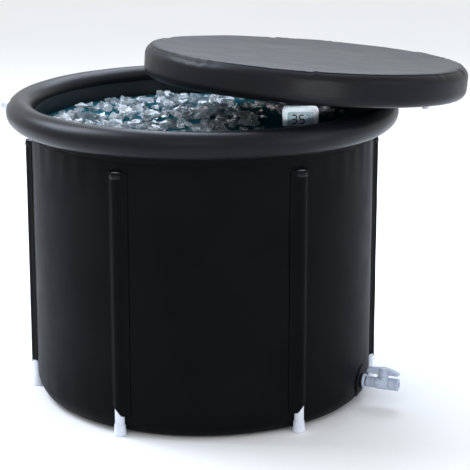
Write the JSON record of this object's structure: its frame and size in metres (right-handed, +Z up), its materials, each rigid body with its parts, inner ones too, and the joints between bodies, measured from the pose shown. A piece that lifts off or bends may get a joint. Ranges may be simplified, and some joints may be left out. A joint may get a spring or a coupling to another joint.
{
  "type": "cold plunge tub",
  "caption": "Round portable cold plunge tub with an inflated rim ring, sleeved support legs, a drain tap, an inflated lid pushed aside and a floating thermometer.",
  "frame": {"origin": "centre of the tub base on the floor", "axes": "+Z up along the tub axis, -Y towards the front, which is the side the picture shows"},
  "size_m": [1.0832, 0.914, 0.8386],
  "materials": {
    "skin": "satin coated fabric",
    "foam": "closed cell foam",
    "liner": "satin film",
    "white": "moulded",
    "rubber": "matt",
    "steel": "turned",
    "glass": "clear",
    "lcd": "printed panel",
    "cell": "plated"
  },
  "bodies": {
    "tub": {"outer_skin": "skin", "base_panel": "skin", "ring_tube": "skin", "collar_band": "skin", "drain_patch": "skin", "sleeve_1": "skin", "sleeve_2": "skin", "sleeve_3": "skin", "sleeve_4": "skin", "sleeve_5": "skin", "sleeve_6": "skin", "foam_wall": "foam", "foam_floor": "foam", "inner_liner": "liner", "ring_valve_base": "white", "drain_flange": "white", "drain_nut": "white", "tap_body": "white", "tap_outlet": "white", "drain_gasket": "rubber", "inner_gasket": "rubber", "tap_oring": "rubber", "seat_in": "rubber", "seat_out": "rubber"},
    "lid": {"lid_cover": "skin", "lid_valve_base": "white"},
    "lid_plug": {"lid_valve_plug": "white"},
    "ring_plug": {"ring_valve_plug": "white"},
    "lever": {"tap_lever": "white", "tap_stem": "steel", "tap_ball": "steel", "lever_screw": "steel"},
    "thermometer": {"thermometer_back": "white", "thermometer_bezel": "white", "thermometer_window": "glass", "thermometer_lcd": "lcd", "thermometer_battery": "cell"},
    "leg_1": {"leg_tube_1": "white", "leg_foot_1": "white", "leg_cap_1": "white"},
    "leg_2": {"leg_tube_2": "white", "leg_foot_2": "white", "leg_cap_2": "white"},
    "leg_3": {"leg_tube_3": "white", "leg_foot_3": "white", "leg_cap_3": "white"},
    "leg_4": {"leg_tube_4": "white", "leg_foot_4": "white", "leg_cap_4": "white"},
    "leg_5": {"leg_tube_5": "white", "leg_foot_5": "white", "leg_cap_5": "white"},
    "leg_6": {"leg_tube_6": "white", "leg_foot_6": "white", "leg_cap_6": "white"}
  },
  "joints": [
    {"name": "lid_lift", "type": "slide", "parent": "tub", "child": "lid", "axis": [0, 0, 1], "range_m": [0, 0.45]},
    {"name": "lid_plug_pull", "type": "slide", "parent": "lid", "child": "lid_plug", "axis": [-0.0747, -0.0543, -0.9957], "range_m": [0, 0.03]},
    {"name": "ring_plug_pull", "type": "slide", "parent": "tub", "child": "ring_plug", "axis": [-0.9511, 0, 0.309], "range_m": [0, 0.03]},
    {"name": "tap_turn", "type": "hinge", "parent": "tub", "child": "lever", "pos_m": [0.41338, -0.18405, 0.052], "axis": [0, 0, 1], "range_deg": [0, 90]},
    {"name": "float_bob", "type": "slide", "parent": "tub", "child": "thermometer", "axis": [0, 0, 1], "range_m": [-0.03, 0.02], "stiffness_N_per_m": 25, "springref_m": 0.025},
    {"name": "leg_1_draw", "type": "slide", "parent": "tub", "child": "leg_1", "axis": [0, 0, -1], "range_m": [0, 0.62]},
    {"name": "leg_2_draw", "type": "slide", "parent": "tub", "child": "leg_2", "axis": [0, 0, -1], "range_m": [0, 0.62]},
    {"name": "leg_3_draw", "type": "slide", "parent": "tub", "child": "leg_3", "axis": [0, 0, -1], "range_m": [0, 0.62]},
    {"name": "leg_4_draw", "type": "slide", "parent": "tub", "child": "leg_4", "axis": [0, 0, -1], "range_m": [0, 0.62]},
    {"name": "leg_5_draw", "type": "slide", "parent": "tub", "child": "leg_5", "axis": [0, 0, -1], "range_m": [0, 0.62]},
    {"name": "leg_6_draw", "type": "slide", "parent": "tub", "child": "leg_6", "axis": [0, 0, -1], "range_m": [0, 0.62]}
  ]
}
